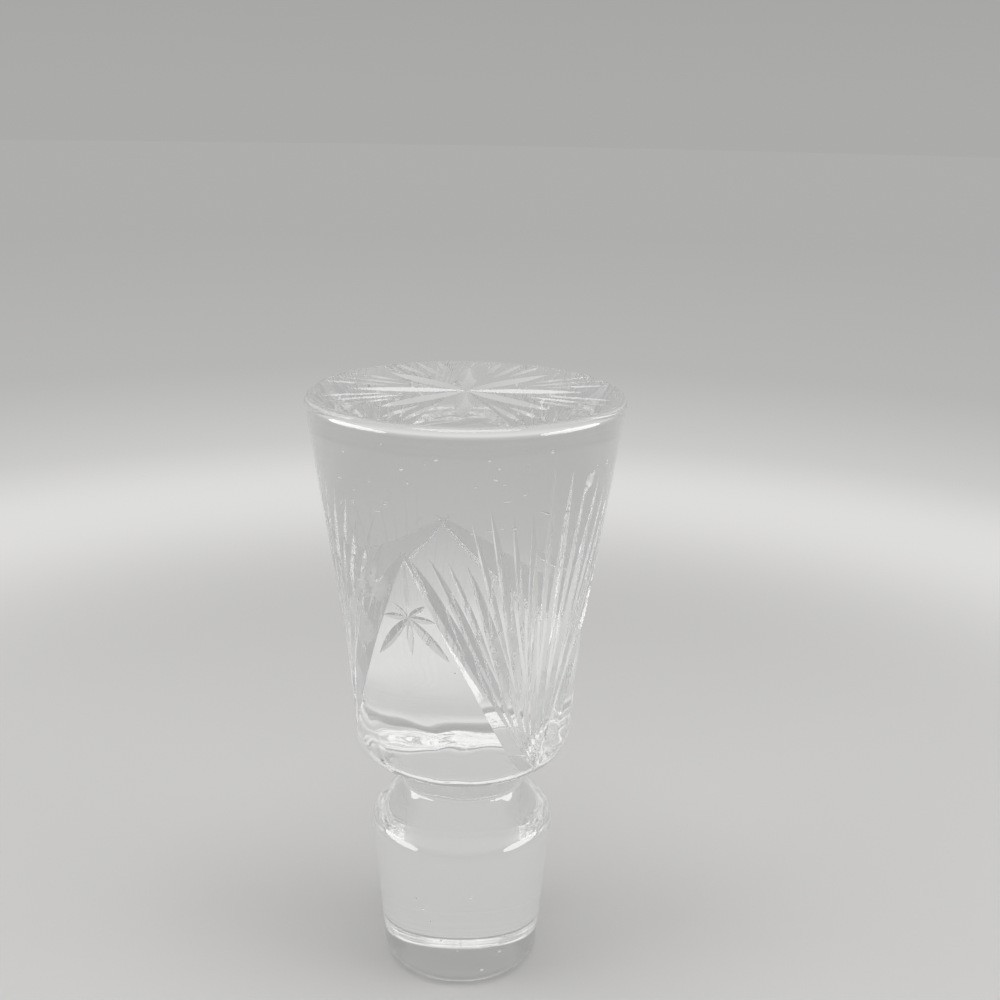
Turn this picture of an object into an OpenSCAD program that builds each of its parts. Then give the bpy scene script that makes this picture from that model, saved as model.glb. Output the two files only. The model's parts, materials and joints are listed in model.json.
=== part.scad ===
// Cut-glass decanter stopper, one solid piece of clear glass. A flared head with a flat top stands
// on a short neck and a tapered plug, and mitre cuts decorate the head's side and its top.

/* [Overall] */
// Height from the foot of the plug to the flat top
total_h = 95; // [90:1:110]

/* [Head] */
// Height of the head, from its underside to the flat top
head_h = 58.1; // [50:0.1:62]
// Diameter of the flat top
top_d = 48.2; // [44:0.1:54]
// Diameter of the waist, where the head starts to flare
waist_d = 36; // [34:0.1:40]
// Height of the waist above the head's underside
waist_h = 17.9; // [14:0.1:22]
// Diameter of the head's foot, before its edge is rounded
foot_d = 33.8; // [31:0.1:35]
// Rounding of the rim round the flat top
rim_round = 1.4; // [0.8:0.1:2]
// Rounding of the flare at the waist
waist_round = 150; // [80:1:180]
// Rounding of the edge under the head
foot_round = 4.3; // [3:0.1:5]

/* [Neck and plug] */
// Diameter of the neck
neck_d = 19.2; // [17:0.1:21]
// Height of the neck between the shoulder and the head
neck_h = 5.3; // [4:0.1:7]
// Rounding in the two inner corners of the neck
neck_round = 1.2; // [0.8:0.1:1.6]
// Diameter of the shoulder, before its edge is rounded
shoulder_d = 29.4; // [28:0.1:32]
// Height of the sloping shoulder above the plug
shoulder_h = 6.6; // [5:0.1:8]
// Rounding of the shoulder's edge
shoulder_round = 2.85; // [2:0.05:3.5]
// Diameter of the plug's foot, before its edge is rounded
plug_d = 25; // [23:0.1:27]
// Rounding of the plug's lower edge
plug_round = 2.4; // [0.8:0.1:3]

/* [Cuts on the side] */
// Angle between the two flanks of every mitre cut
mitre_angle = 100; // [90:1:120]
// Height of the fans' foot above the head's underside
fan_foot = 2.6; // [2:0.1:4]
// Height of the arches above the head's underside
arch_h = 39.5; // [34:0.5:42]
// Depth of the broad cuts that make the arches
arch_depth = 1.2; // [0.9:0.05:1.4]
// Depth of the narrow cuts that rise from the fan's foot
fan_depth = 0.7; // [0.5:0.05:0.8]
// Depth of the fine cuts between them
fine_depth = 0.45; // [0.3:0.05:0.5]
// Height of the fine cuts' lower tips above the head's underside
fine_foot = 21; // [18:0.5:24]
// Height of the small stars in the arches above the head's underside
star_h = 29.1; // [26:0.1:32]
// Size of the small stars against their drawn size
star_scale = 1; // [0.8:0.05:1.1]

/* [Cuts on the top] */
// Number of long petals in the top star
petal_count = 8; // [6:1:10]
// Reach of a long petal from the centre
petal_reach = 17.5; // [15:0.5:19]
// Depth of a long petal
petal_depth = 1.2; // [0.8:0.05:1.4]
// Depth of the short cuts between the petals
spray_depth = 0.5; // [0.3:0.05:0.6]

/* [Hidden] */
$fn = 96;
GLASS = [0.86, 0.92, 0.93, 0.45];

// Heights of the levels where the outline turns
foot_z = total_h - head_h;
waist_z = foot_z + waist_h;
neck_z = foot_z - neck_h;
shoulder_z = neck_z - shoulder_h;

// The outline's corners from the axis at the bottom to the axis at the top: radius, height, rounding
CORNERS = [
    [0, 0, 0],
    [plug_d / 2, 0, plug_round],
    [shoulder_d / 2, shoulder_z, shoulder_round],
    [neck_d / 2, neck_z, neck_round],
    [neck_d / 2, foot_z, neck_round],
    [foot_d / 2, foot_z, foot_round],
    [waist_d / 2, waist_z, waist_round],
    [top_d / 2, total_h, rim_round],
    [0, total_h, 0]
];
ROUNDED = [for (i = [1 : len(CORNERS) - 2]) i];

// Directions in which the four fans stand. The glass is cut by hand, so they aren't even.
FANS = [-86, 42, 136, 234];
// Most cuts on each side of a fan's middle one, narrow and fine by turns, and the turn between two of them
// at the arch's height. The cuts stop this many turns short of the arch.
fan_half = 8;
fan_pitch = 6.8;
arch_clearance = 1.2;
// How far each of them climbs, from the left of a fan to its right, as a share of the head's height
CLIMB = [0.67, 0.67, 0.66, 0.77, 0.81, 0.79, 0.79, 0.88, 0.88, 0.86, 0.84, 0.82, 0.8, 0.79, 0.78, 0.76, 0.7];
// How high each fan's cuts climb against these shares
FAN_CLIMB = [1, 1, 0.75, 0.75];
// How deep a fan's cuts run at its foot, how far apart they start there and how far arches cross at the top
foot_sink = 0.5;
foot_spread = 1.2;
arch_cross = 1.2;
// The small star's leaves: direction clockwise from straight up, length and depth
STAR = [
    [0, 9, 0.35],
    [50, 3.6, 0.4],
    [94, 4.2, 0.45],
    [137, 9, 0.65],
    [178, 6, 0.5],
    [220, 9.2, 0.65],
    [266, 4.2, 0.45],
    [310, 3.4, 0.4]
];
// The short cuts between two top petals: direction from the middle of the gap, start and end radius
SPRAY = [
    [-9, 12, 21.8],
    [0, 9.5, 22.4],
    [9, 12, 21.8]
];
// How far a petal starts past the star's centre, and how much higher a cutter is than its cut
petal_overlap = 0.5;
cutter_margin = 0.8;
// How far a corner's sliver reaches past the corner, and the largest angle at which its circle meets a side
sliver_margin = 0.5;
max_meeting = 2.5;
// The least bow of a cut that is almost straight, and how much longer a cutter is than its cut
least_bow = 0.1;
overrun = 1.2;

function unit(v) = v / norm(v);
function point(i) = [CORNERS[i][0], CORNERS[i][1]];
function to_last(i) = unit(point(i - 1) - point(i));
function to_next(i) = unit(point(i + 1) - point(i));
function half_corner(i) = acos(to_last(i) * to_next(i)) / 2;
function centre(i) = point(i) + unit(to_last(i) + to_next(i)) * CORNERS[i][2] / sin(half_corner(i));
function tangent_len(i) = CORNERS[i][2] / tan(half_corner(i));
// The two points where the rounding of corner i meets the straight sides
function tangents(i) = [point(i) + to_last(i) * tangent_len(i), point(i) + to_next(i) * tangent_len(i)];
function is_inner(i) = CORNERS[i][2] > 0 && cross(point(i) - point(i - 1), point(i + 1) - point(i)) < 0;

// Radius of the head's side at height z
function side_r(z) = z < waist_z
    ? (foot_d + (waist_d - foot_d) * (z - foot_z) / waist_h) / 2
    : (waist_d + (top_d - waist_d) * (z - waist_z) / (head_h - waist_h)) / 2;
// Outward direction and point of the head's side at direction az, with az 0 in front (-Y)
function outward(az) = [sin(az), -cos(az), 0];
function on_side(az, z, lift = 0) = outward(az) * (side_r(z) + lift) + [0, 0, z];
function on_top(az, r) = outward(az) * r + [0, 0, total_h];

// Turn from a fan's foot to a cut's point at height z, for the turn that the arch has at its own height
function fan_turn(turn, z) = let (base = foot_z + fan_foot, arch = foot_z + arch_h)
    turn * (z - base) / (arch - base) * (side_r(base) + side_r(arch)) / (side_r(base) + side_r(z));
// Half the turn from fan i to its neighbour on side s, which is -1 or 1
function half_gap(i, s) = let (gap = FANS[(i + s + len(FANS)) % len(FANS)] - FANS[i])
    s * (gap * s > 0 ? gap * s : gap * s + 360) / 2;

// The circle that rounds corner i. It meets the straight sides at a very small angle, so that each side
// ends in one clean crossing.
module rounding_circle(i) {
    meeting = min(max_meeting, (90 - half_corner(i)) / 3);
    translate(centre(i)) circle(r = CORNERS[i][2] / cos(meeting), $fn = 240);
}

// The sliver between an outer corner i and its rounding circle, reaching a little past the corner
module corner_sliver(i) {
    c = centre(i);
    rim = [tangents(i)[0], point(i), tangents(i)[1]];
    difference() {
        polygon(concat([c], [for (p = rim) p + unit(p - c) * sliver_margin]));
        rounding_circle(i);
    }
}

// Half section of the stopper: straight sides with the inner corners filled straight across, less a circle
// at each inner corner and a sliver at each outer one
module half_section() {
    difference() {
        polygon([for (i = [0 : len(CORNERS) - 1]) each is_inner(i) ? tangents(i) : [point(i)]]);
        for (i = ROUNDED) if (is_inner(i)) rounding_circle(i); else corner_sliver(i);
    }
}

// A mitre cut from a to b, whose edge runs on a circle that passes depth under the surface point mid.
// A bowed surface is cut along the inside of a large ring, and a flat or hollow one by a wheel's rim.
module mitre_cut(a, b, mid, out, depth) {
    along = unit(b - a);
    up = unit(out - (out * along) * along);
    rise = (mid - (a + b) / 2) * up - depth;
    side = rise > 0 ? 1 : -1;
    bow = max(abs(rise), least_bow);
    half_l = norm(b - a) / 2;
    r = (half_l * half_l + bow * bow) / (2 * bow);
    sweep = 2 * asin(half_l / r) * overrun;
    hub = (a + b) / 2 + up * side * (bow - r);
    x = up * side;
    z = cross(x, along);
    h = depth + cutter_margin;
    w = h * tan(mitre_angle / 2);
    multmatrix([
        [x[0], along[0], z[0], hub[0]],
        [x[1], along[1], z[1], hub[1]],
        [x[2], along[2], z[2], hub[2]],
        [0, 0, 0, 1]
    ])
        rotate([0, 0, -sweep / 2])
            rotate_extrude(angle = sweep, $fn = 360)
                polygon([[r, 0], [r + side * h, -side * w], [r + side * h, side * w]]);
}

// A cut on the head's side between two directions and heights, sunk at its lower end
module side_cut(az_a, z_a, az_b, z_b, depth, sink = 0) {
    az_mid = (az_a + az_b) / 2;
    mid = on_side(az_mid, (z_a + z_b) / 2);
    mitre_cut(on_side(az_a, z_a, -sink), on_side(az_b, z_b), mid, outward(az_mid), depth);
}

// Cut k of fan i, counted from its middle one: narrow ones rise from the foot, with fine ones between them.
// Where the next fan stands near, the outer cuts are left out.
module fan_cut(i, k) {
    room = abs(half_gap(i, k < 0 ? -1 : 1)) - arch_clearance * fan_pitch;
    fine = k % 2 != 0;
    turn = fan_pitch * k;
    z_a = foot_z + (fine ? fine_foot : fan_foot);
    z_b = foot_z + CLIMB[k + fan_half] * FAN_CLIMB[i] * head_h;
    az_a = FANS[i] + foot_spread * k / fan_half + fan_turn(turn, z_a);
    az_b = FANS[i] + fan_turn(turn, z_b);
    depth = fine ? fine_depth : fan_depth;
    if (abs(turn) <= room) side_cut(az_a, z_a, az_b, z_b, depth, fine ? 0 : foot_sink);
}

// The broad cut on side s of fan i, which makes half an arch with its neighbour's
module arch_cut(i, s) {
    az_b = FANS[i] + half_gap(i, s) + s * arch_cross;
    side_cut(FANS[i] + s * foot_spread, foot_z + fan_foot, az_b, foot_z + arch_h, arch_depth, foot_sink);
}

// Leaf n of the small star in the arch between fan i and the next one
module star_cut(i, n) {
    z = foot_z + star_h;
    az = FANS[i] + half_gap(i, 1);
    per_mm = 180 / (PI * side_r(z));
    dir = [sin(STAR[n][0]), cos(STAR[n][0])];
    a = -petal_overlap * dir;
    b = STAR[n][1] * star_scale * dir;
    side_cut(az + a[0] * per_mm, z + a[1], az + b[0] * per_mm, z + b[1], STAR[n][2]);
}

// Cut n of fan i: its arches come first, then its narrow and fine cuts
module side_pattern(i, n) {
    if (n < 2) arch_cut(i, 2 * n - 1);
    else fan_cut(i, n - 2 - fan_half);
}
SIDE_CUTS = 3 + 2 * fan_half;

// The round body after n cuts in each of the four fans. They are made one after another, as by hand.
module side_body(n) {
    if (n == 0) rotate_extrude() half_section();
    else difference() {
        side_body(n - 1);
        side_pattern(0, n - 1);
        side_pattern(1, n - 1);
        side_pattern(2, n - 1);
        side_pattern(3, n - 1);
    }
}

// The body after n leaves of the small stars, one in the arch after each of the first two fans
module starred_body(n) {
    if (n == 0) side_body(SIDE_CUTS);
    else difference() {
        starred_body(n - 1);
        star_cut(0, n - 1);
        star_cut(1, n - 1);
    }
}

// A cut on the flat top along one direction
module top_cut(az, r_a, r_b, depth) {
    mitre_cut(on_top(az, r_a), on_top(az, r_b), on_top(az, (r_a + r_b) / 2), [0, 0, 1], depth);
}

// The whole body after n petals of the top star, each with the spray of short cuts beside it
module top_body(n) {
    step = 360 / petal_count;
    if (n == 0) starred_body(len(STAR));
    else difference() {
        top_body(n - 1);
        top_cut(n * step, -petal_overlap, petal_reach, petal_depth);
        top_cut((n + 0.5) * step + SPRAY[0][0], SPRAY[0][1], SPRAY[0][2], spray_depth);
        top_cut((n + 0.5) * step + SPRAY[1][0], SPRAY[1][1], SPRAY[1][2], spray_depth);
        top_cut((n + 0.5) * step + SPRAY[2][0], SPRAY[2][1], SPRAY[2][2], spray_depth);
    }
}

// The whole stopper
module stopper() {
    color(GLASS) top_body(petal_count);
}

stopper();
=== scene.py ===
"""A cut-glass decanter stopper on a pale studio floor: one turned, mitre-cut piece of clear glass."""
import json
import logging
import math
from dataclasses import dataclass, replace
from enum import Enum

import bmesh
import bpy
import numpy as np
from mathutils import Matrix, Vector

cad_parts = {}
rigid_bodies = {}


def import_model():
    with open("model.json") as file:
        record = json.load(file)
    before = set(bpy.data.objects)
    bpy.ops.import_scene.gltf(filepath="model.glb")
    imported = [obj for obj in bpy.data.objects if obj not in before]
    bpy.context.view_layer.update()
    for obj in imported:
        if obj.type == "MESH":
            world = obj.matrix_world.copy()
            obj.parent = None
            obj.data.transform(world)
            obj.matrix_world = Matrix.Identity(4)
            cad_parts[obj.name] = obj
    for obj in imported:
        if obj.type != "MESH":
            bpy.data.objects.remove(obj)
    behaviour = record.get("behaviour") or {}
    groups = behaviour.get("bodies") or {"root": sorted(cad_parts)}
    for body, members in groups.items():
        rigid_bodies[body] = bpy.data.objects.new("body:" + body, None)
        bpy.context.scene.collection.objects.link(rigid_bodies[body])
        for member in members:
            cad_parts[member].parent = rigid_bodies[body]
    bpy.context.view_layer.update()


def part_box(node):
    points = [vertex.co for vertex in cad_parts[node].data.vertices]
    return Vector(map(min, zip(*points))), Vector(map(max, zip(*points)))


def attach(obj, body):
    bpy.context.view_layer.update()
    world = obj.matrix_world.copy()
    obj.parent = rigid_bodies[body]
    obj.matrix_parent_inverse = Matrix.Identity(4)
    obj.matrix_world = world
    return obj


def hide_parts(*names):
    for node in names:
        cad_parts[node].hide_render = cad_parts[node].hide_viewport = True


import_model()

log = logging.getLogger("stopper")

MM = 0.001
# The mesh is made this much smaller, so that it stays inside the box of the exact shape.
INSIDE = 0.9998
# Points of the turned blank that are nearer than this, in mm, are one point.
MERGE = 1e-4
# The least radius to divide by, in mm.
LEAST_RADIUS = 1e-9
# Number on the faces of the turned blank, where the others carry the number of their cutter.
BLANK = -1
# How often a ray may bounce in the glass before it is given up.
BOUNCES = 64
WHITE = (1.0, 1.0, 1.0, 1.0)
# Shares of red, green and blue in the greys of the floor and the room.
WARM = (1.0, 0.995, 0.985)


class Surface(Enum):
    """How a face of the glass was finished, by its material slot."""

    CAST = 0
    CUT = 1
    DULL_CUT = 2
    GROUND = 3


def outward(azimuth: float) -> Vector:
    """Level direction at an azimuth in degrees, where 0 is the front (-Y) and 90 the right (+X)."""
    turn = math.radians(azimuth)
    return Vector((math.sin(turn), -math.cos(turn), 0.0))


@dataclass(frozen=True)
class Corner:
    """One corner of the turned outline: its radius, its height and its rounding, in mm."""

    radius: float
    height: float
    rounding: float = 0.0


@dataclass(frozen=True)
class Outline:
    """The turned outline of the stopper, with its sizes in mm."""

    total_h: float
    head_h: float = 58.1
    top_d: float = 48.2
    waist_d: float = 36.0
    waist_h: float = 17.9
    foot_d: float = 33.8
    rim_round: float = 1.4
    waist_round: float = 150.0
    foot_round: float = 4.3
    neck_d: float = 19.2
    neck_h: float = 5.3
    neck_round: float = 1.2
    shoulder_d: float = 29.4
    shoulder_h: float = 6.6
    shoulder_round: float = 2.85
    plug_d: float = 25.0
    plug_round: float = 2.4
    segments: int = 288
    ring_gap: float = 1.6
    bend_per_segment: float = 6.0
    least_bends: int = 6

    @property
    def foot_z(self) -> float:
        """Height of the head's underside."""
        return self.total_h - self.head_h

    @property
    def waist_z(self) -> float:
        """Height of the waist, where the head starts to flare."""
        return self.foot_z + self.waist_h

    @property
    def shoulder_z(self) -> float:
        """Height of the plug's upper edge."""
        return self.foot_z - self.neck_h - self.shoulder_h

    def corners(self) -> list[Corner]:
        """Corners from the axis at the bottom to the axis at the top."""
        neck_z = self.foot_z - self.neck_h
        return [
            Corner(0.0, 0.0),
            Corner(self.plug_d / 2, 0.0, self.plug_round),
            Corner(self.shoulder_d / 2, self.shoulder_z, self.shoulder_round),
            Corner(self.neck_d / 2, neck_z, self.neck_round),
            Corner(self.neck_d / 2, self.foot_z, self.neck_round),
            Corner(self.foot_d / 2, self.foot_z, self.foot_round),
            Corner(self.waist_d / 2, self.waist_z, self.waist_round),
            Corner(self.top_d / 2, self.total_h, self.rim_round),
            Corner(0.0, self.total_h),
        ]

    def side_r(self, z: float) -> float:
        """Radius of the head's straight sides at a height in mm."""
        if z < self.waist_z:
            return (self.foot_d + (self.waist_d - self.foot_d) * (z - self.foot_z) / self.waist_h) / 2
        flare = (z - self.waist_z) / (self.head_h - self.waist_h)
        return (self.waist_d + (self.top_d - self.waist_d) * flare) / 2

    def on_side(self, azimuth: float, z: float, lift: float = 0.0) -> Vector:
        """Point of the head's side at an azimuth in degrees and a height in mm, in mm."""
        return outward(azimuth) * (self.side_r(z) + lift) + Vector((0.0, 0.0, z))

    def on_plug(self, azimuth: float, z: float) -> Vector:
        """Point of the plug's side at an azimuth in degrees and a height in mm, in mm."""
        radius = (self.plug_d + (self.shoulder_d - self.plug_d) * z / self.shoulder_z) / 2
        return outward(azimuth) * radius + Vector((0.0, 0.0, z))

    def on_top(self, azimuth: float, radius: float) -> Vector:
        """Point of the flat top at an azimuth in degrees and a radius in mm, in mm."""
        return outward(azimuth) * radius + Vector((0.0, 0.0, self.total_h))

    def draw(self) -> bmesh.types.BMesh:
        """Draws the outline as a line of edges in mm: its corners, each rounded, from the foot to the top."""
        bm = bmesh.new()
        verts = [bm.verts.new((c.radius, 0.0, c.height)) for c in self.corners()]
        for a, b in zip(verts, verts[1:]):
            bm.edges.new((a, b))
        for vert, corner in zip(verts, self.corners()):
            if corner.rounding > 0.0:
                self.round_corner(bm, vert, corner.rounding)
        for edge in list(bm.edges):
            cuts = int(edge.calc_length() / self.ring_gap)
            if cuts:
                bmesh.ops.subdivide_edges(bm, edges=[edge], cuts=cuts)
        return bm

    def turn(self, bm: bmesh.types.BMesh) -> None:
        """Spins the outline about the axis into a closed mesh with faces pointing outwards."""
        bmesh.ops.spin(
            bm,
            geom=list(bm.verts) + list(bm.edges),
            cent=(0.0, 0.0, 0.0),
            axis=(0.0, 0.0, 1.0),
            angle=math.tau,
            steps=self.segments,
            use_merge=True,
        )
        bmesh.ops.remove_doubles(bm, verts=bm.verts, dist=MERGE)
        bmesh.ops.recalc_face_normals(bm, faces=bm.faces)

    @staticmethod
    def slopes(bm: bmesh.types.BMesh) -> np.ndarray:
        """Reads the drawn outline.

        Args:
            bm: The outline before it is turned.

        Returns:
            Rows of radius, height and outward normal (radial, upward), from the foot to the top.
        """
        bm.verts.ensure_lookup_table()
        vert, edge = bm.verts[0], None
        line = [(vert.co.x, vert.co.z)]
        while ahead := [e for e in vert.link_edges if e is not edge]:
            edge = ahead[0]
            vert = edge.other_vert(vert)
            line.append((vert.co.x, vert.co.z))
        points = np.array(line)
        step = np.diff(points, axis=0)
        length = np.linalg.norm(step, axis=1, keepdims=True)
        # Long segments outweigh short ones, so that straight stretches nearly keep their own normal.
        weighted = np.stack([step[:, 1], -step[:, 0]], axis=1) / length * length**3
        none = np.zeros((1, 2))
        normals = np.concatenate([weighted, none]) + np.concatenate([none, weighted])
        normals /= np.linalg.norm(normals, axis=1, keepdims=True)
        return np.concatenate([points, normals], axis=1)

    def round_corner(self, bm: bmesh.types.BMesh, vert: bmesh.types.BMVert, rounding: float) -> None:
        """Rounds one corner of the outline by a vertex bevel.

        Args:
            bm: The outline's mesh, in mm.
            vert: The corner.
            rounding: Radius of the rounding in mm.
        """
        a, b = ((e.other_vert(vert).co - vert.co).normalized() for e in vert.link_edges)
        half = a.angle(b) / 2
        turned = math.pi - 2 * half
        bmesh.ops.bevel(
            bm,
            geom=[vert],
            affect="VERTICES",
            offset=rounding / math.tan(half),
            offset_type="OFFSET",
            segments=max(self.least_bends, round(math.degrees(turned) / self.bend_per_segment)),
            profile=0.5,
            material=-1,
        )


@dataclass(frozen=True)
class Wheel:
    """The wheel or ring that grinds a mitre cut: where it turns, how large it is and which side cuts."""

    hub: Vector
    across: Vector
    up: Vector
    side: float
    radius: float
    sweep: float


@dataclass(frozen=True)
class MitreCut:
    """A V-shaped cut from start to end whose edge passes depth under middle, in mm and degrees."""

    start: Vector
    end: Vector
    middle: Vector
    out: Vector
    depth: float
    angle: float = 100.0
    overrun: float = 1.2
    margin: float = 0.8
    least_bow: float = 0.1
    step: float = 0.9
    least_steps: int = 4
    surface: Surface = Surface.CUT

    def wheel(self) -> Wheel:
        """The wheel whose rim passes through both ends of the cut and through its deepest point."""
        along = (self.end - self.start).normalized()
        up = (self.out - self.out.dot(along) * along).normalized()
        chord_mid = (self.start + self.end) / 2
        rise = (self.middle - chord_mid).dot(up) - self.depth
        side = 1.0 if rise > 0.0 else -1.0
        bow = max(abs(rise), self.least_bow)
        half_l = (self.end - self.start).length / 2
        radius = (half_l * half_l + bow * bow) / (2 * bow)
        sweep = 2 * math.asin(half_l / radius) * self.overrun
        return Wheel(chord_mid + up * side * (bow - radius), up.cross(along), up, side, radius, sweep)

    def carve(self, bm: bmesh.types.BMesh) -> None:
        """Makes the cutter's solid in mm: a triangle spun about the wheel's hub."""
        wheel = self.wheel()
        height = self.depth + self.margin
        width = height * math.tan(math.radians(self.angle / 2))
        edge = wheel.hub + wheel.up * wheel.side * wheel.radius
        back = Matrix.Rotation(-wheel.sweep / 2, 3, wheel.across)
        corners = [edge, *(edge + wheel.up * height + wheel.across * side for side in (-width, width))]
        face = bm.faces.new([bm.verts.new(wheel.hub + back @ (corner - wheel.hub)) for corner in corners])
        bmesh.ops.spin(
            bm,
            geom=[face, *face.edges, *face.verts],
            cent=wheel.hub,
            axis=wheel.across,
            angle=wheel.sweep,
            steps=max(self.least_steps, round((self.end - self.start).length / self.step)),
        )
        bmesh.ops.recalc_face_normals(bm, faces=bm.faces)

    def flank_normals(self, points: np.ndarray, centres: np.ndarray) -> np.ndarray:
        """Exact normals of the two flanks that the cut leaves in the glass.

        Args:
            points: Points on the flanks, one row each.
            centres: For each point, the centre of its face, which tells the two flanks apart.

        Returns:
            The normals, one row each.
        """
        wheel = self.wheel()
        hub, across = np.array(wheel.hub), np.array(wheel.across)
        arm = points - hub
        arm -= np.outer(arm @ across, across)
        arm /= np.linalg.norm(arm, axis=1, keepdims=True)
        flank = np.sign((centres - hub) @ across)
        half = math.radians(self.angle / 2)
        return arm * wheel.side * math.sin(half) - np.outer(flank, across) * math.cos(half)


@dataclass(frozen=True)
class Nick:
    """A small chip or pit in the surface, shallow and oval, in mm, with its lean in degrees."""

    place: Vector
    out: Vector
    length: float
    width: float
    depth: float
    lean: float = 0.0
    rounds: int = 2
    surface: Surface = Surface.GROUND

    def oval(self) -> Matrix:
        """Turns a unit sphere into the egg that sinks into the glass up to half its half height.

        Returns:
            The transform. The surface cuts the egg 30 degrees under its middle, where it is as long and as
            wide as the nick.
        """
        level = Vector((0.0, 0.0, 1.0)).cross(self.out).normalized()
        along = Matrix.Rotation(math.radians(self.lean), 3, self.out) @ self.out.cross(level)
        across = self.out.cross(along)
        wider = 1 / math.cos(math.radians(30))
        axes = (along * self.length / 2 * wider, across * self.width / 2 * wider, self.out * self.depth * 2)
        oval = Matrix(axes).transposed().to_4x4()
        oval.translation = self.place + self.out * self.depth
        return oval

    def carve(self, bm: bmesh.types.BMesh) -> None:
        """Makes the cutter's solid in mm."""
        bmesh.ops.create_icosphere(bm, subdivisions=self.rounds, radius=1.0, matrix=self.oval())
        bmesh.ops.recalc_face_normals(bm, faces=bm.faces)

    def flank_normals(self, points: np.ndarray, centres: np.ndarray) -> np.ndarray:
        """Exact normals of the hollow that the nick leaves; see MitreCut.flank_normals."""
        back = np.array(self.oval().inverted())
        sphere = points @ back[:3, :3].T + back[:3, 3]
        normal = -sphere @ back[:3, :3]
        return normal / np.linalg.norm(normal, axis=1, keepdims=True)


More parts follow.
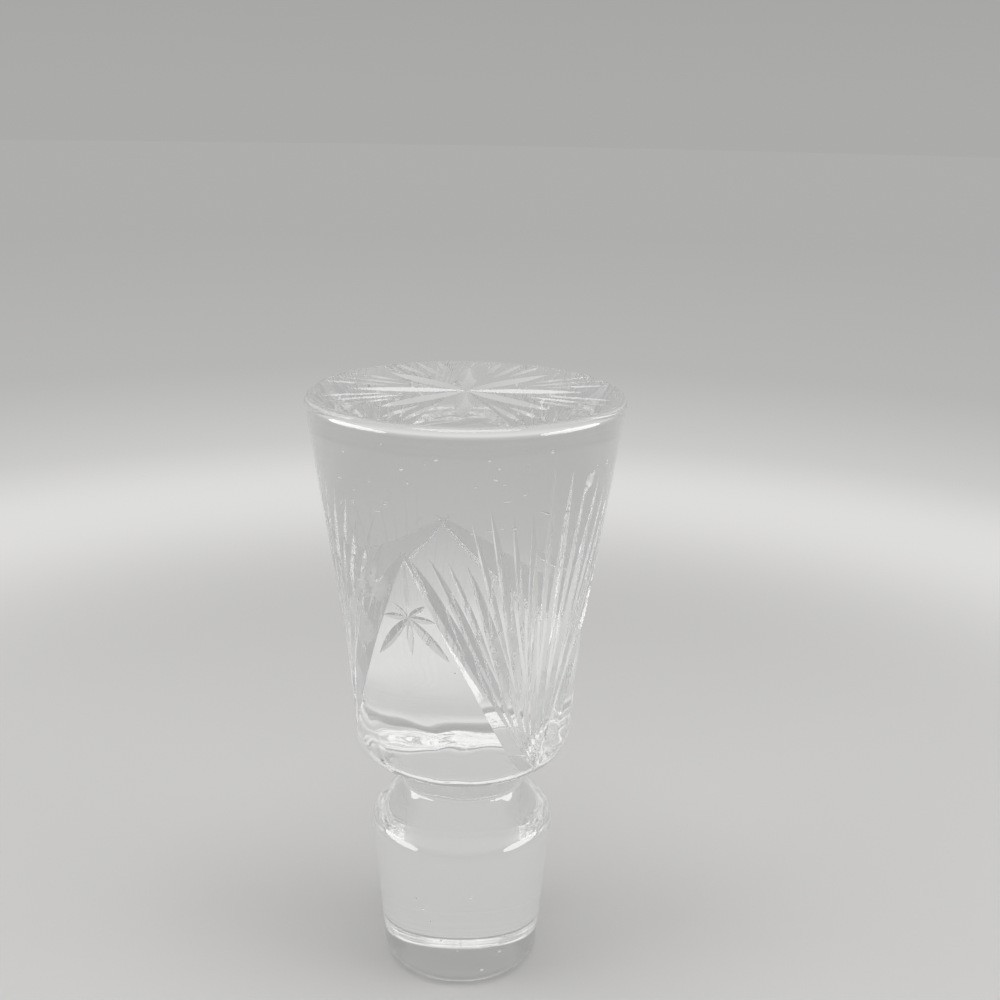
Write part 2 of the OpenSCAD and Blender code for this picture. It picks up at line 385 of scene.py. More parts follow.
@dataclass(frozen=True)
class SidePattern:
    """The cuts on the head's side: four fans, an arch between each two and a star in two of the arches.

    Directions and turns are in degrees and sizes in mm. The two fans at the back are lower and duller.
    """

    outline: Outline
    fans: tuple[float, ...] = (-86.0, 42.0, 136.0, 234.0)
    starred: tuple[int, ...] = (0, 1)
    dull: tuple[int, ...] = (2, 3)
    fan_foot: float = 2.6
    arch_h: float = 39.5
    arch_depth: float = 1.2
    fan_depth: float = 0.7
    fine_depth: float = 0.45
    fine_foot: float = 21.0
    star_h: float = 29.1
    fan_half: int = 8
    fan_pitch: float = 6.8
    arch_clearance: float = 1.2
    foot_sink: float = 0.5
    foot_spread: float = 1.2
    arch_cross: float = 1.2
    petal_overlap: float = 0.5
    # Where each cut of a fan ends, from its left to its right, as a share of the head's height.
    climb: tuple[float, ...] = (
        0.67, 0.67, 0.66, 0.77, 0.81, 0.79, 0.79, 0.88, 0.88,
        0.86, 0.84, 0.82, 0.8, 0.79, 0.78, 0.76, 0.7,
    )
    # How high the cuts of each fan climb against these shares.
    fan_climb: tuple[float, ...] = (1.0, 1.0, 0.75, 0.75)
    # Each leaf of a small star: its direction on a clock face in degrees, its length and its depth.
    star: tuple[tuple[float, float, float], ...] = (
        (0, 9, 0.35), (50, 3.6, 0.4), (94, 4.2, 0.45), (137, 9, 0.65),
        (178, 6, 0.5), (220, 9.2, 0.65), (266, 4.2, 0.45), (310, 3.4, 0.4),
    )

    def fan_turn(self, turn: float, z: float) -> float:
        """Turn from a fan's foot to a cut's point at a height, for the turn it would have at the arch."""
        base = self.outline.foot_z + self.fan_foot
        arch = self.outline.foot_z + self.arch_h
        r = self.outline.side_r
        return turn * (z - base) / (arch - base) * (r(base) + r(arch)) / (r(base) + r(z))

    def half_gap(self, fan: int, side: int) -> float:
        """Half the turn from a fan to its neighbour on side -1 or 1."""
        gap = self.fans[(fan + side) % len(self.fans)] - self.fans[fan]
        return side * (gap * side if gap * side > 0 else gap * side + 360) / 2

    def side_cut(
        self, az_a: float, z_a: float, az_b: float, z_b: float, depth: float, sink: float = 0.0
    ) -> MitreCut:
        """A cut on the side between two azimuths and heights, sunk at its lower end."""
        on_side = self.outline.on_side
        az_mid = (az_a + az_b) / 2
        middle = on_side(az_mid, (z_a + z_b) / 2)
        return MitreCut(on_side(az_a, z_a, -sink), on_side(az_b, z_b), middle, outward(az_mid), depth)

    def fan_cut(self, fan: int, k: int) -> MitreCut:
        """Cut k of a fan, counted from its middle one, narrow and fine by turns."""
        fine = k % 2 != 0
        foot_z, head_h = self.outline.foot_z, self.outline.head_h
        gap = self.fan_pitch * k
        z_a = foot_z + (self.fine_foot if fine else self.fan_foot)
        z_b = foot_z + self.climb[k + self.fan_half] * self.fan_climb[fan] * head_h
        az_a = self.fans[fan] + self.foot_spread * k / self.fan_half + self.fan_turn(gap, z_a)
        az_b = self.fans[fan] + self.fan_turn(gap, z_b)
        if fine:
            return self.side_cut(az_a, z_a, az_b, z_b, self.fine_depth)
        return self.side_cut(az_a, z_a, az_b, z_b, self.fan_depth, self.foot_sink)

    def arch_cut(self, fan: int, side: int) -> MitreCut:
        """The broad cut beside a fan, half of an arch."""
        foot_z = self.outline.foot_z
        az_b = self.fans[fan] + self.half_gap(fan, side) + side * self.arch_cross
        az_a = self.fans[fan] + side * self.foot_spread
        return self.side_cut(
            az_a, foot_z + self.fan_foot, az_b, foot_z + self.arch_h, self.arch_depth, self.foot_sink
        )

    def star_cut(self, fan: int, leaf: int) -> MitreCut:
        """One leaf of the small star in the arch after a fan."""
        z = self.outline.foot_z + self.star_h
        azimuth = self.fans[fan] + self.half_gap(fan, 1)
        per_mm = math.degrees(1 / self.outline.side_r(z))
        clock, length, depth = self.star[leaf]
        x, y = math.sin(math.radians(clock)), math.cos(math.radians(clock))
        a, b = -self.petal_overlap, length
        az_a, az_b = azimuth + a * x * per_mm, azimuth + b * x * per_mm
        return self.side_cut(az_a, z + a * y, az_b, z + b * y, depth)

    def cuts(self) -> list[MitreCut]:
        """Every cut on the side."""
        made = []
        for fan in range(len(self.fans)):
            own = [self.arch_cut(fan, half) for half in (-1, 1)]
            for k in range(-self.fan_half, self.fan_half + 1):
                side = -1 if k < 0 else 1
                room = abs(self.half_gap(fan, side)) - self.arch_clearance * self.fan_pitch
                if self.fan_pitch * abs(k) <= room:
                    own.append(self.fan_cut(fan, k))
            if fan in self.starred:
                own += [self.star_cut(fan, leaf) for leaf in range(len(self.star))]
            surface = Surface.DULL_CUT if fan in self.dull else Surface.CUT
            made += [replace(cut, surface=surface) for cut in own]
        return made


@dataclass(frozen=True)
class TopPattern:
    """The star of long petals on the flat top, with short cuts between them, in mm and degrees."""

    outline: Outline
    petals: int = 8
    reach: float = 17.5
    depth: float = 1.2
    spray_depth: float = 0.5
    overlap: float = 0.5
    # Each short cut between two petals: its turn from their middle and the radii where it starts and ends.
    spray: tuple[tuple[float, float, float], ...] = ((-9.0, 12.0, 21.8), (0.0, 9.5, 22.4), (9.0, 12.0, 21.8))

    def top_cut(self, azimuth: float, r_a: float, r_b: float, depth: float) -> MitreCut:
        """A cut on the flat top along one azimuth."""
        on_top = self.outline.on_top
        middle = on_top(azimuth, (r_a + r_b) / 2)
        return MitreCut(on_top(azimuth, r_a), on_top(azimuth, r_b), middle, Vector((0, 0, 1)), depth)

    def cuts(self) -> list[MitreCut]:
        """Every cut on the top."""
        step = 360 / self.petals
        made = []
        for n in range(self.petals):
            made.append(self.top_cut(n * step, -self.overlap, self.reach, self.depth))
            between = (n + 0.5) * step
            made += [self.top_cut(between + turn, a, b, self.spray_depth) for turn, a, b in self.spray]
        return made


@dataclass(frozen=True)
class Wear:
    """What making and use left on the glass: pits, short dashes, a chip near the rim and hair scratches.

    Places are azimuths in degrees and heights in mm, and sizes are in mm.
    """

    outline: Outline
    pits: tuple[tuple[float, float], ...] = (
        (5.1, 86.8), (-18.4, 86.9), (-20.3, 88.8), (-11.8, 89.9), (-44.7, 89.8), (11.8, 87.8), (15.0, 87.0),
        (22.5, 85.3), (31.5, 91.1), (-41.7, 84.3), (-43.2, 82.4), (-51.0, 81.6), (-33.7, 86.3), (-27.8, 83.3),
        (-16.5, 72.6), (-2.2, 57.7), (14.9, 80.5), (19.8, 80.3), (15.7, 75.1), (4.1, 79.9), (-8.0, 90.6),
        (-27.0, 92.1), (12.9, 89.4), (63.0, 87.2), (55.7, 87.4), (9.5, 90.6),
    )
    dashes: tuple[tuple[float, float], ...] = ((16.4, 84.5), (10.5, 80.2), (-31.2, 82.0), (-49.0, 85.5))
    plug_pits: tuple[tuple[float, float], ...] = (
        (17.0, 3.2), (-12.0, 9.0), (-24.0, 14.5), (8.0, 17.5), (30.0, 6.0),
    )
    # Each hollow of the chip: its place, its length and its width.
    chip: tuple[tuple[float, float, float, float], ...] = (
        (52.1, 85.4, 2.6, 1.9), (53.6, 86.4, 1.1, 0.9), (50.8, 84.4, 1.2, 1.0), (52.8, 85.2, 0.8, 0.6),
    )
    # Both ends of each hair scratch.
    hairs: tuple[tuple[float, float, float, float], ...] = (
        (33.0, 90.9, 34.7, 82.2), (33.0, 90.9, 42.4, 80.2),
        (29.0, 82.6, 36.0, 81.3), (36.0, 81.3, 44.0, 82.2),
    )
    # Each patch that the polishing left grey in the cuts: its place and its radius.
    grey_spots: tuple[tuple[float, float, float], ...] = (
        (-40.0, 70.5, 4.0), (-55.0, 62.5, 4.5), (-24.0, 70.0, 2.5),
        (20.5, 61.5, 3.0), (66.0, 57.5, 4.5), (46.0, 54.0, 3.5),
    )
    pit: float = 0.5
    # Pits come in this many lengths. The first share gives the shortest and the second how much each grows.
    pit_kinds: int = 3
    pit_shares: tuple[float, float] = (0.7, 0.3)
    # Width and depth of a pit as shares of its length, and the turn from one pit to the next.
    pit_width: float = 0.8
    pit_depth: float = 0.3
    pit_turn: float = 50.0
    dash: float = 1.1
    dash_lean: float = 90.0
    chip_depth: float = 0.2
    chip_lean: float = 10.0
    hair_depth: float = 0.05
    hair_step: float = 0.4

    def hair(self, az_a: float, z_a: float, az_b: float, z_b: float) -> MitreCut:
        """A hair scratch on the head's side between two azimuths and heights."""
        on_side, az_mid = self.outline.on_side, (az_a + az_b) / 2
        middle = on_side(az_mid, (z_a + z_b) / 2)
        ends = on_side(az_a, z_a), on_side(az_b, z_b)
        return MitreCut(*ends, middle, outward(az_mid), self.hair_depth, step=self.hair_step)

    def cuts(self) -> list[Nick | MitreCut]:
        """Every mark."""
        side, plug = self.outline.on_side, self.outline.on_plug
        made: list[Nick | MitreCut] = []
        least, more = self.pit_shares
        for n, (az, z) in enumerate(self.pits):
            size = self.pit * (least + more * (n % self.pit_kinds))
            shape = size, size * self.pit_width, size * self.pit_depth
            made.append(Nick(side(az, z), outward(az), *shape, self.pit_turn * n))
        for az, z in self.dashes:
            made.append(Nick(side(az, z), outward(az), self.dash, self.pit / 2, self.pit / 5, self.dash_lean))
        for az, z in self.plug_pits:
            made.append(Nick(plug(az, z), outward(az), self.pit, self.pit, self.pit / 3))
        for az, z, long, wide in self.chip:
            made.append(Nick(side(az, z), outward(az), long, wide, self.chip_depth * wide, self.chip_lean))
        return made + [self.hair(*ends) for ends in self.hairs]


def turned_normals(points: np.ndarray, slopes: np.ndarray) -> np.ndarray:
    """Normals of a turned surface.

    Args:
        points: Points on the surface, one row each.
        slopes: The outline's points and normals, as Outline.slopes gives them.

    Returns:
        The normals, one row each.
    """
    radius = np.hypot(points[:, 0], points[:, 1])
    flat = np.stack([radius, points[:, 2]], axis=1)
    start, step = slopes[:-1, :2], np.diff(slopes[:, :2], axis=0)
    offset = flat[:, None] - start[None]
    share = np.clip((offset * step).sum(axis=2) / (step**2).sum(axis=1), 0.0, 1.0)
    gap = ((offset - share[:, :, None] * step) ** 2).sum(axis=2)
    near = gap.argmin(axis=1)
    t = share[np.arange(len(near)), near][:, None]
    normal = slopes[near, 2:] * (1 - t) + slopes[near + 1, 2:] * t
    normal /= np.linalg.norm(normal, axis=1, keepdims=True)
    level = points[:, :2] / np.maximum(radius, LEAST_RADIUS)[:, None]
    return np.concatenate([level * normal[:, :1], normal[:, 1:]], axis=1)


def link(
    name: str, bm: bmesh.types.BMesh, collection: bpy.types.Collection | None = None
) -> bpy.types.Object:
    """Makes an object of a mesh and frees the bmesh.

    Args:
        name: Name of the object and its mesh.
        bm: The finished mesh.
        collection: Where the object goes, or None for the scene's own collection.

    Returns:
        The new object, at the origin.
    """
    mesh = bpy.data.meshes.new(name)
    bm.to_mesh(mesh)
    bm.free()
    made = bpy.data.objects.new(name, mesh)
    (collection or bpy.context.scene.collection).objects.link(made)
    return made


def new_group(name: str, inputs: dict[str, float], outputs: list[str]) -> bpy.types.NodeTree:
    """Starts a shader node group with float sockets.

    Args:
        name: Name of the group.
        inputs: Each input's name and its value at the start.
        outputs: Names of the outputs.

    Returns:
        The group, with its input and output nodes named "in" and "out".
    """
    group = bpy.data.node_groups.new(name, "ShaderNodeTree")
    for key, value in inputs.items():
        socket = group.interface.new_socket(name=key, in_out="INPUT", socket_type="NodeSocketFloat")
        socket.default_value = value
    for key in outputs:
        group.interface.new_socket(name=key, in_out="OUTPUT", socket_type="NodeSocketFloat")
    for kind, label in (("NodeGroupInput", "in"), ("NodeGroupOutput", "out")):
        group.nodes.new(kind).name = label
    return group


@dataclass(frozen=True)
class Wiring:
    """Short calls for adding nodes to one node tree."""

    tree: bpy.types.NodeTree

    def node(
        self, kind: str, inputs: dict[str | int, object] | None = None, **settings: object
    ) -> bpy.types.Node:
        """Adds a node.

        Args:
            kind: The node's class, such as ShaderNodeMath.
            inputs: For each input by name or number, a value or the output socket that feeds it.
            **settings: The node's own settings.

        Returns:
            The new node.
        """
        made = self.tree.nodes.new(kind)
        for key, value in settings.items():
            setattr(made, key, value)
        for key, value in (inputs or {}).items():
            if isinstance(value, bpy.types.NodeSocket):
                self.tree.links.new(value, made.inputs[key])
            else:
                made.inputs[key].default_value = value
        return made

    def math(self, operation: str, *values: object, clamp: bool = False) -> bpy.types.NodeSocket:
        """Output of a Math node on two or three values or sockets."""
        made = self.node("ShaderNodeMath", dict(enumerate(values)), operation=operation, use_clamp=clamp)
        return made.outputs[0]

    def noise(
        self, place: object, scale: object, detail: float, distortion: float = 0.0
    ) -> bpy.types.NodeSocket:
        """Output of a Noise Texture node, with its scale per metre."""
        inputs = {"Vector": place, "Scale": scale, "Detail": detail, "Distortion": distortion}
        return self.node("ShaderNodeTexNoise", inputs).outputs[0]

    def ramp(
        self, value: object, low: float, high: float, out_low: float = 0.0, out_high: float = 1.0
    ) -> bpy.types.NodeSocket:
        """Output of a Map Range node that goes smoothly from out_low at low to out_high at high."""
        inputs = {"Value": value, "From Min": low, "From Max": high, "To Min": out_low, "To Max": out_high}
        return self.node("ShaderNodeMapRange", inputs, interpolation_type="SMOOTHSTEP").outputs[0]


def ripple_group() -> bpy.types.NodeTree:
    """Slow waves, an uneven band round the head's base and fine pitting, as a height in metres."""
    inputs = {"Wave": 1.0, "Wave scale": 90.0, "Pitting": 1.0, "Uneven": 0.0}
    group = new_group("glass_ripple", inputs, ["Height"])
    w = Wiring(group)
    here = w.node("ShaderNodeTexCoord").outputs["Object"]
    given = group.nodes["in"].outputs
    unit = 0.0001
    pit_share = 0.02
    band_starts, band_ends = (0.03, 0.036), (0.042, 0.054)
    wave = w.noise(here, scale=given["Wave scale"], detail=1.0)
    pits = w.ramp(w.noise(here, scale=900.0, detail=2.0), low=0.3, high=0.42, out_low=-1.0, out_high=0.0)
    z = w.node("ShaderNodeSeparateXYZ", {0: here}).outputs[2]
    band = w.math("MULTIPLY", w.ramp(z, *band_starts), w.ramp(z, *band_ends, out_low=1.0, out_high=0.0))
    swell = w.noise(here, scale=110.0, detail=0.0, distortion=0.6)
    swell = w.math("MULTIPLY", w.math("MULTIPLY", swell, band), given["Uneven"])
    tall = w.math("MULTIPLY_ADD", wave, given["Wave"], swell)
    tall = w.math("MULTIPLY_ADD", pits, w.math("MULTIPLY", given["Pitting"], pit_share), tall)
    w.tree.links.new(w.math("MULTIPLY", tall, unit), group.nodes["out"].inputs["Height"])
    return group


def dust_group() -> bpy.types.NodeTree:
    """Sparse specks of dust and faint smears, as a mask from 0 to 1."""
    group = new_group("glass_dust", {"Amount": 1.0}, ["Specks", "Smears"])
    w = Wiring(group)
    here = w.node("ShaderNodeTexCoord").outputs["Object"]
    given = group.nodes["in"].outputs
    # Every cell has a number from 0 to 1. The topmost are chosen, so that about one in fifteen has a speck.
    topmost = (0.93, 0.94)
    speck_r = (0.05, 0.11)
    cell = w.node("ShaderNodeTexVoronoi", {"Vector": here, "Scale": 450.0, "Randomness": 1.0})
    number = w.node("ShaderNodeSeparateColor", {0: cell.outputs["Color"]}).outputs[0]
    dot = w.ramp(cell.outputs["Distance"], *speck_r, out_low=1.0, out_high=0.0)
    specks = w.math("MULTIPLY", w.ramp(number, *topmost), dot)
    specks = w.math("MULTIPLY", specks, given["Amount"], clamp=True)
    smears = w.ramp(w.noise(here, scale=60.0, detail=4.0, distortion=1.5), low=0.55, high=0.75)
    w.tree.links.new(specks, group.nodes["out"].inputs["Specks"])
    w.tree.links.new(smears, group.nodes["out"].inputs["Smears"])
    return group


def grinding_group(spots: list[tuple[Vector, float]]) -> bpy.types.NodeTree:
    """Patches where the grey of the grinding wheel wasn't polished away.

    Args:
        spots: Centre in metres and radius in metres of each patch.

    Returns:
        The group, which gives a mask from 0 to 1 and the height of its grain in metres.
    """
    group = new_group("grinding_grey", {"Amount": 1.0}, ["Grey", "Grain"])
    w = Wiring(group)
    here = w.node("ShaderNodeTexCoord").outputs["Object"]
    full_share = 0.6
    grain_height = 0.00008
    near: object = 0.0
    for centre, radius in spots:
        away = w.node("ShaderNodeVectorMath", {0: here, 1: centre}, operation="DISTANCE").outputs["Value"]
        patch = w.ramp(away, low=radius * full_share, high=radius, out_low=1.0, out_high=0.0)
        near = w.math("MAXIMUM", near, patch)
    blotch = w.ramp(w.noise(here, scale=420.0, detail=3.0), low=0.38, high=0.5)
    mask = w.math("MULTIPLY", w.math("MULTIPLY", near, blotch), group.nodes["in"].outputs["Amount"])
    grain = w.math("MULTIPLY", w.noise(here, scale=3500.0, detail=2.0), mask)
    w.tree.links.new(mask, group.nodes["out"].inputs["Grey"])
    w.tree.links.new(w.math("MULTIPLY", grain, grain_height), group.nodes["out"].inputs["Grain"])
    return group


@dataclass(frozen=True)
class GlassFinish:
    """One finish of the clear glass: how smooth it is and what lies on it."""

    name: str
    roughness: float
    # How much rougher the glass is under specks and under smears.
    rough_specks: float
    rough_smears: float
    wave: float
    pitting: float
    bump: float
    dust: float
    grey: float = 0.0
    grey_roughness: float = 0.6
    # The larger this is, the finer the waves are.
    wave_scale: float = 90.0
    uneven: float = 0.0
    tint: tuple[float, float, float, float] = (0.985, 0.992, 0.99, 1.0)
    ior: float = 1.53

    def material(
        self, ripple: bpy.types.NodeTree, dust: bpy.types.NodeTree, grinding: bpy.types.NodeTree
    ) -> bpy.types.Material:
        """Builds the material.

        Args:
            ripple: Node group of the surface's waves and pits.
            dust: Node group of the specks and smears.
            grinding: Node group of the grey patches in the cuts.

        Returns:
            The material, with its Principled shader and the groups.
        """
        made = bpy.data.materials.new(self.name)
        made.use_nodes = True
        w = Wiring(made.node_tree)
        w.tree.nodes.clear()
        waves = w.node(
            "ShaderNodeGroup",
            {
                "Wave": self.wave,
                "Wave scale": self.wave_scale,
                "Pitting": self.pitting,
                "Uneven": self.uneven,
            },
            node_tree=ripple,
        )
        specks = w.node("ShaderNodeGroup", {"Amount": self.dust}, node_tree=dust)
        rough = w.math("MULTIPLY_ADD", specks.outputs["Specks"], self.rough_specks, self.roughness)
        rough = w.math("MULTIPLY_ADD", specks.outputs["Smears"], self.rough_smears, rough, clamp=True)
        height = waves.outputs["Height"]
        if self.grey > 0.0:
            patches = w.node("ShaderNodeGroup", {"Amount": self.grey}, node_tree=grinding)
            rough = w.math("MULTIPLY_ADD", patches.outputs["Grey"], self.grey_roughness, rough, clamp=True)
            height = w.math("ADD", height, patches.outputs["Grain"])
        bump = w.node("ShaderNodeBump", {"Strength": self.bump, "Distance": 1.0, "Height": height})
        shader = w.node(
            "ShaderNodeBsdfPrincipled",
            {
                "Base Color": self.tint,
                "Roughness": rough,
                "IOR": self.ior,
                "Transmission Weight": 1.0,
                "Normal": bump.outputs["Normal"],
            },
        )
        w.node("ShaderNodeOutputMaterial", {"Surface": shader.outputs["BSDF"]})
        return made


@dataclass(frozen=True)
class Stopper:
    """The whole stopper: a turned blank of clear glass with mitre cuts on its side and its top."""

    outline: Outline
    side: SidePattern
    top: TopPattern
    wear: Wear

    def build(self) -> bpy.types.Object:
        """Turns the blank, cuts it, smooths it and gives it its finishes.

        Returns:
            The finished piece, in metres in the row frame.
        """
        line = self.outline.draw()
        slopes = self.outline.slopes(line)
        self.outline.turn(line)
        blank = link("blank", line)
        self.mark(blank, BLANK)
        cuts = self.side.cuts() + self.top.cuts() + self.wear.cuts()
        tools = bpy.data.collections.new("cutters")
        bpy.context.scene.collection.children.link(tools)
        for number, cut in enumerate(cuts):
            bm = bmesh.new()
            cut.carve(bm)
            self.mark(link(f"cutter_{number}", bm, tools), number)
        cutting = blank.modifiers.new("cutting", "BOOLEAN")
        cutting.operation = "DIFFERENCE"
        cutting.operand_type = "COLLECTION"
        cutting.collection = tools
        cutting.solver = "MANIFOLD"
        depsgraph = bpy.context.evaluated_depsgraph_get()
        mesh = bpy.data.meshes.new_from_object(blank.evaluated_get(depsgraph))
        mesh.name = "stopper_glass"
        for item in [*tools.objects, blank]:
            bpy.data.objects.remove(item)
        bpy.data.collections.remove(tools)
        mesh.materials.clear()
        self.smooth(mesh, slopes, cuts)
        for material in self.finishes():
            mesh.materials.append(material)
        mesh.transform(Matrix.Scale(MM * INSIDE, 4))
        made = bpy.data.objects.new("stopper_glass", mesh)
        bpy.context.scene.collection.objects.link(made)
        return made

    @staticmethod
    def mark(item: bpy.types.Object, number: int) -> None:
        """Notes on every face which cutter it comes from, or that it is the turned blank's."""
        faces = item.data.attributes.new("cutter", "INT", "FACE")
        faces.data.foreach_set("value", np.full(len(item.data.polygons), number, np.int32))

    @staticmethod
    def smooth(mesh: bpy.types.Mesh, slopes: np.ndarray, cuts: list[MitreCut | Nick]) -> None:
        """Gives turned faces the outline's own normals and each flank of a cut its exact ones.

        Args:
            mesh: The cut glass in mm, with the cutter's number on every face.
            slopes: The outline's points and normals.
            cuts: The cuts, by number.
        """
        faces, loops = len(mesh.polygons), len(mesh.loops)
        cutter = np.zeros(faces, np.int32)
        mesh.attributes["cutter"].data.foreach_get("value", cutter)
        sizes = np.zeros(faces, np.int32)
        mesh.polygons.foreach_get("loop_total", sizes)
        centres = np.zeros(faces * 3)
        mesh.polygons.foreach_get("center", centres)
        places = np.zeros(len(mesh.vertices) * 3)
        mesh.vertices.foreach_get("co", places)
        corners = np.zeros(loops, np.int32)
        mesh.loops.foreach_get("vertex_index", corners)
        points = places.reshape(-1, 3)[corners]
        face_of = np.repeat(np.arange(faces), sizes)
        centre_of, cutter_of = centres.reshape(-1, 3)[face_of], cutter[face_of]
        normals = np.zeros((loops, 3))
        turned = cutter_of == BLANK
        normals[turned] = turned_normals(points[turned], slopes)
        for number in np.unique(cutter[cutter != BLANK]):
            mine = cutter_of == number
            normals[mine] = cuts[number].flank_normals(points[mine], centre_of[mine])
        mesh.polygons.foreach_set("use_smooth", np.ones(faces, bool))
        # The blank's own number finds the last entry.
        surfaces = np.array([cut.surface.value for cut in cuts] + [Surface.CAST.value])
        mesh.polygons.foreach_set("material_index", surfaces[cutter])
        mesh.normals_split_custom_set(normals.tolist())
        mesh.attributes.remove(mesh.attributes["cutter"])

    def finishes(self) -> list[bpy.types.Material]:
        """The materials, in the order of the Surface enum."""
        spots = [(self.outline.on_side(az, z) * MM, radius * MM) for az, z, radius in self.wear.grey_spots]
        ripple, dust, grinding = ripple_group(), dust_group(), grinding_group(spots)
        kinds = [
            GlassFinish(
                "cast_glass", roughness=0.0, rough_specks=0.5, rough_smears=0.03,
                wave=0.5, pitting=1.0, bump=1.0, dust=1.0, uneven=10.0,
            ),
            GlassFinish(
                "cut_glass", roughness=0.06, rough_specks=0.3, rough_smears=0.05,
                wave=0.3, pitting=0.0, bump=1.0, dust=0.5, grey=1.0, wave_scale=350.0,
            ),
            GlassFinish(
                "dull_cut_glass", roughness=0.45, rough_specks=0.2, rough_smears=0.05,
                wave=0.0, pitting=0.0, bump=0.0, dust=0.5,
            ),
            GlassFinish(
                "ground_glass", roughness=0.4, rough_specks=0.2, rough_smears=0.1,
                wave=0.6, pitting=2.0, bump=1.0, dust=0.0,
            ),
        ]
        return [kind.material(ripple, dust, grinding) for kind in kinds]


@dataclass(frozen=True)
class SoftBox:
    """A lamp with an oval of cloth in front of it: place and aim in metres, and power in watts."""

    name: str
    place: tuple[float, float, float]
    aim: tuple[float, float, float]
    size: tuple[float, float]
    power: float

    def hang(self) -> bpy.types.Object:
        """Makes the lamp."""
        data = bpy.data.lights.new(self.name, "AREA")
        data.shape = "ELLIPSE"
        data.size, data.size_y = self.size
        data.energy = self.power
        lamp = bpy.data.objects.new(self.name, data)
        lamp.location = self.place
        lamp.rotation_euler = (Vector(self.aim) - Vector(self.place)).to_track_quat("-Z", "Y").to_euler()
        lamp.visible_camera = lamp.visible_transmission = False
        bpy.context.scene.collection.objects.link(lamp)
        return lamp


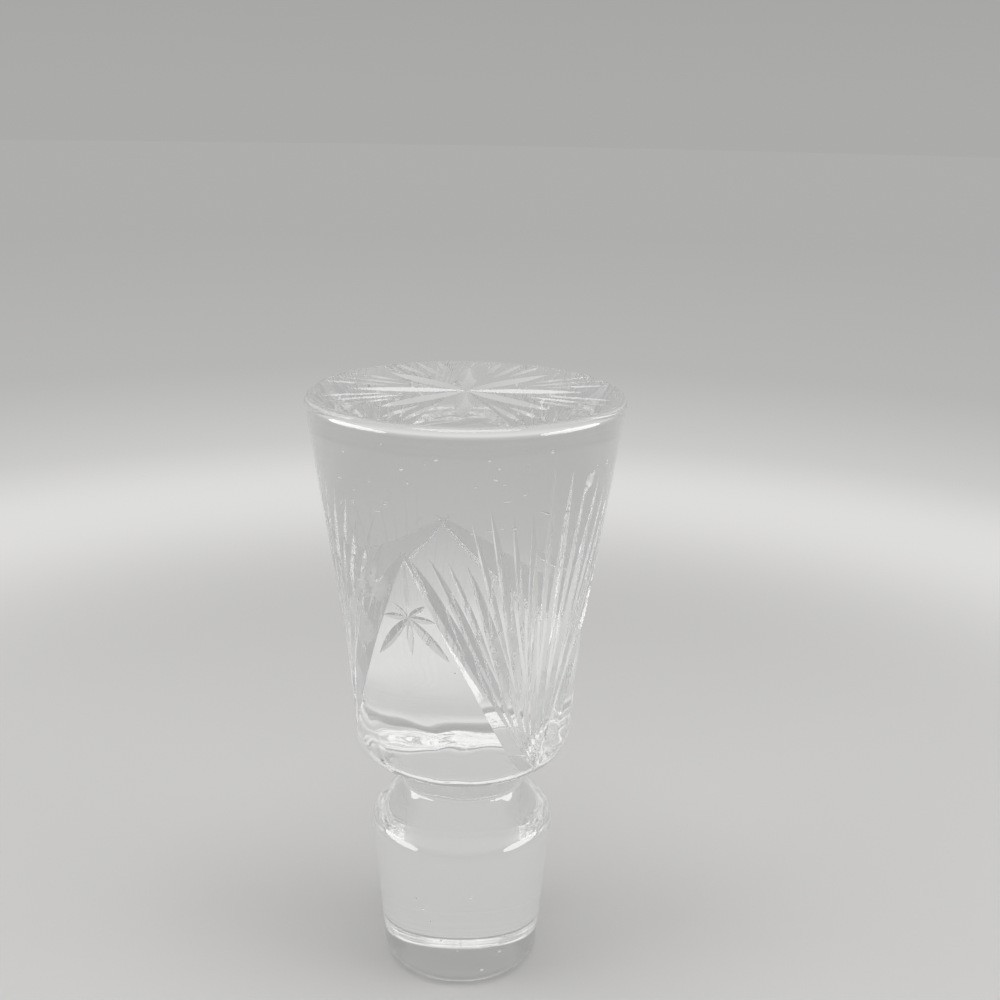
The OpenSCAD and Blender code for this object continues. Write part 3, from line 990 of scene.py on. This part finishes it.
@dataclass(frozen=True)
class Studio:
    """The pale floor, the soft boxes, the room's light and the camera.

    Sizes and places are in metres, turns in degrees, and the lens and the sensor in mm.
    """

    boxes: tuple[SoftBox, ...] = (
        SoftBox("soft_box_left", (-0.45, -0.1, 0.075), (0.0, -0.03, 0.05), (0.46, 0.28), 2.0),
        SoftBox("soft_box_right", (0.45, -0.1, 0.075), (0.0, -0.03, 0.05), (0.46, 0.28), 2.0),
        SoftBox("soft_box_top", (0.0, -0.05, 0.5), (0.0, 0.0, 0.05), (0.34, 0.26), 0.7),
    )
    floor_r: float = 4.0
    floor_segments: int = 96
    air_gap: float = 0.00005
    paper: tuple[float, float, float, float] = (0.63, 0.625, 0.615, 1.0)
    paper_roughness: float = 0.9
    paper_shine: float = 0.1
    # The floor's painted light: greys that it emits, by distance from the stopper, with a painted bright ring
    # from 0.2 to 0.26 m.
    floor_painted_light: tuple[tuple[float, float], ...] = (
        (0.0, 0.56), (0.12, 0.58), (0.2, 0.8), (0.26, 0.8), (0.34, 0.58), (0.5, 0.46), (1.2, 0.42)
    )
    # The room's set greys behind and in front of the stopper, from the horizon at 0 to overhead at 1.
    sky_behind: tuple[tuple[float, float], ...] = (
        (0.0, 0.42), (0.15, 0.36), (0.55, 0.3), (0.68, 0.4), (0.85, 0.95), (1.0, 1.0),
    )
    sky_in_front: tuple[tuple[float, float], ...] = ((0.0, 0.4), (0.12, 0.45), (0.3, 0.9), (1.0, 1.0))
    # Where the greys in front give way to those behind, by a direction's share along +Y.
    front: tuple[float, float] = (-0.35, 0.05)
    room_light: float = 0.44
    # Where the lit paper gives way to the floor's painted light, and the share of that painted light in what
    # is seen through glass, so that the glass shows no shadow on the floor.
    lit_r: tuple[float, float] = (0.13, 0.3)
    painted_light_in_glass: float = 0.8
    camera_place: tuple[float, float, float] = (0.0053, -0.1889, 0.1362)
    camera_dip: float = 17.1
    camera_roll: float = 1.03
    lens: float = 46.8
    sensor: float = 36.0
    clip: tuple[float, float] = (0.005, 10.0)

    def build(self) -> None:
        """Sets up the whole studio."""
        self.floor()
        for box in self.boxes:
            box.hang()
        self.light_room()
        self.place_camera()

    def floor(self) -> bpy.types.Object:
        """Lays the round floor, with a hair of air under the glass."""
        bm = bmesh.new()
        bmesh.ops.create_circle(bm, cap_ends=True, radius=self.floor_r, segments=self.floor_segments)
        bmesh.ops.translate(bm, verts=bm.verts, vec=(0.0, 0.0, -self.air_gap))
        bmesh.ops.recalc_face_normals(bm, faces=bm.faces)
        floor = link("studio_floor", bm)
        floor.data.materials.append(self.paper_material())
        return floor

    @staticmethod
    def shown(w: Wiring) -> bpy.types.NodeSocket:
        """1 for what the camera sees, directly or in glass, and 0 for the light on matt surfaces."""
        path = w.node("ShaderNodeLightPath").outputs
        seen = w.math("MAXIMUM", path["Is Camera Ray"], path["Is Glossy Ray"])
        return w.math("MAXIMUM", seen, path["Is Transmission Ray"])

    @staticmethod
    def grey_ramp(
        w: Wiring, value: bpy.types.NodeSocket, stops: tuple[tuple[float, float], ...]
    ) -> bpy.types.NodeSocket:
        """A grey that follows a value from 0 to 1 through the given stops."""
        ramp = w.node("ShaderNodeValToRGB", {"Fac": value})
        ramp.color_ramp.interpolation = "B_SPLINE"
        elements = ramp.color_ramp.elements
        while len(elements) < len(stops):
            elements.new(0.5)
        for element, (place, grey) in zip(elements, stops):
            element.position = place
            element.color = (*(grey * share for share in WARM), 1.0)
        return ramp.outputs["Color"]

    def paper_material(self) -> bpy.types.Material:
        """Matt pale paper near the stopper, which fades into painted light, greys that the floor emits,
        farther out and in the glass.
        """
        made = bpy.data.materials.new("studio_paper")
        made.use_nodes = True
        w = Wiring(made.node_tree)
        w.tree.nodes.clear()
        here = w.node("ShaderNodeTexCoord").outputs["Object"]
        radius = w.node("ShaderNodeVectorMath", {0: here}, operation="LENGTH").outputs["Value"]
        paper = w.node(
            "ShaderNodeBsdfPrincipled",
            {
                "Base Color": self.paper,
                "Roughness": self.paper_roughness,
                "Specular IOR Level": self.paper_shine,
            },
        )
        reach = self.floor_painted_light[-1][0]
        stops = tuple((place / reach, grey) for place, grey in self.floor_painted_light)
        grey = self.grey_ramp(w, w.math("DIVIDE", radius, reach), stops)
        # Painted light: the floor glows with these greys, a bright ring among them, though it is no lamp.
        painted_glow = w.node("ShaderNodeEmission", {"Color": grey, "Strength": 1.0})
        # Through glass the floor is mostly painted light instead of lit paper, so its shadow does not show
        # there.
        in_glass = w.node("ShaderNodeLightPath").outputs["Is Transmission Ray"]
        through = w.math("MULTIPLY", in_glass, self.painted_light_in_glass)
        share = w.math("MAXIMUM", w.math("MULTIPLY", w.ramp(radius, *self.lit_r), self.shown(w)), through)
        mix = w.node("ShaderNodeMixShader", {0: share, 1: paper.outputs["BSDF"], 2: painted_glow.outputs["Emission"]})
        w.node("ShaderNodeOutputMaterial", {"Surface": mix.outputs["Shader"]})
        return made

    def light_room(self) -> None:
        """Neutral light from the room, even on matt surfaces.

        What the glass shows of it is dim near the horizon and bright overhead, and behind the stopper the dim
        part reaches higher than in front.
        """
        world = bpy.data.worlds.new("room")
        world.use_nodes = True
        bpy.context.scene.world = world
        w = Wiring(world.node_tree)
        w.tree.nodes.clear()
        heading = w.node("ShaderNodeTexCoord").outputs["Generated"]
        _, y, height = w.node("ShaderNodeSeparateXYZ", {0: heading}).outputs
        behind = self.grey_ramp(w, height, self.sky_behind)
        in_front = self.grey_ramp(w, height, self.sky_in_front)
        share = w.ramp(y, *self.front, out_low=1.0, out_high=0.0)
        grey = w.node("ShaderNodeMix", {0: share, 6: behind, 7: in_front}, data_type="RGBA").outputs[2]
        plain = w.node("ShaderNodeBackground", {"Color": WHITE, "Strength": self.room_light})
        sky = w.node("ShaderNodeBackground", {"Color": grey, "Strength": 1.0})
        mix = w.node("ShaderNodeMixShader", {0: self.shown(w), 1: plain.outputs[0], 2: sky.outputs[0]})
        w.node("ShaderNodeOutputWorld", {"Surface": mix.outputs["Shader"]})

    def place_camera(self) -> None:
        """Puts the camera a little above the stopper, looking down at it."""
        data = bpy.data.cameras.new("camera")
        data.lens, data.sensor_width = self.lens, self.sensor
        data.clip_start, data.clip_end = self.clip
        camera = bpy.data.objects.new("camera", data)
        tilt = Matrix.Rotation(math.radians(90.0 - self.camera_dip), 4, "X")
        roll = Matrix.Rotation(math.radians(self.camera_roll), 4, "Z")
        camera.matrix_world = Matrix.Translation(self.camera_place) @ tilt @ roll
        bpy.context.scene.collection.objects.link(camera)
        bpy.context.scene.camera = camera


def main() -> None:
    """Builds the studio and the stopper."""
    logging.basicConfig(level=logging.INFO, format="%(message)s")
    low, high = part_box("stopper")
    outline = Outline(total_h=(high[2] - low[2]) / MM)
    scene = bpy.context.scene
    scene.view_settings.view_transform = "Standard"
    scene.cycles.max_bounces = scene.cycles.transmission_bounces = scene.cycles.glossy_bounces = BOUNCES
    Studio().build()
    log.info("studio: floor, soft boxes and camera")
    glass = Stopper(outline, SidePattern(outline), TopPattern(outline), Wear(outline)).build()
    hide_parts("stopper")
    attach(glass, "root")
    log.info("stopper_glass: %d faces", len(glass.data.polygons))


if __name__ == "__main__":
    main()
